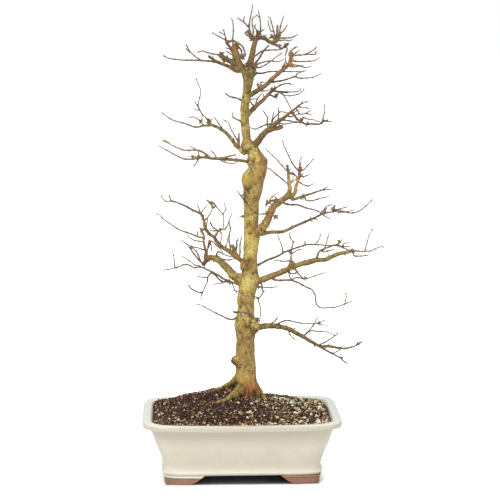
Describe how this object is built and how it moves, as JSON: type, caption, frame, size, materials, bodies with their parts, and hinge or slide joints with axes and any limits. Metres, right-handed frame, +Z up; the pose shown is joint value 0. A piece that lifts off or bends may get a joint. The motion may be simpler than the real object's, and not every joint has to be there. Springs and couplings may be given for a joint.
{
  "type": "trident maple bonsai",
  "caption": "Leafless trident maple trained as a bonsai, with a tapering trunk and fine spreading twigs, in an ivory glazed rectangular pot on bracket feet.",
  "frame": {"origin": "on the ground under the middle of the whole tree's box; the pot's own middle lies about 36 mm to the left of it", "axes": "+Z up, +X to the right as seen from the front, +Y to the back"},
  "size_m": [0.4408, 0.274, 0.8714],
  "materials": {
    "glaze": "gloss",
    "soil": "matte",
    "bark": "matte",
    "limb_bark": "matte",
    "twig_bark": "matte",
    "screen": "matte"
  },
  "bodies": {
    "root": {"pot": "glaze", "drainage_screen_left": "screen", "drainage_screen_right": "screen", "soil": "soil", "trunk": "bark", "crown_leader": "limb_bark", "crown_left": "limb_bark", "limb_right_1": "limb_bark", "limb_right_2": "limb_bark", "limb_left_2": "twig_bark", "limb_left_3": "twig_bark", "limb_right_3": "limb_bark", "limb_left_4": "limb_bark", "limb_left_5": "twig_bark", "limb_right_4": "limb_bark", "twig_front": "twig_bark", "stub_left": "twig_bark", "limb_right_4_low": "limb_bark", "limb_right_5": "twig_bark", "limb_right_6": "limb_bark", "twigs_right_low": "twig_bark", "twigs_right_hanging": "twig_bark", "limb_right_8": "limb_bark", "limb_left_6": "limb_bark", "limb_left_7": "limb_bark", "limb_left_8": "twig_bark", "limb_left_9": "limb_bark", "stub_low_left": "twig_bark"}
  },
  "joints": []
}
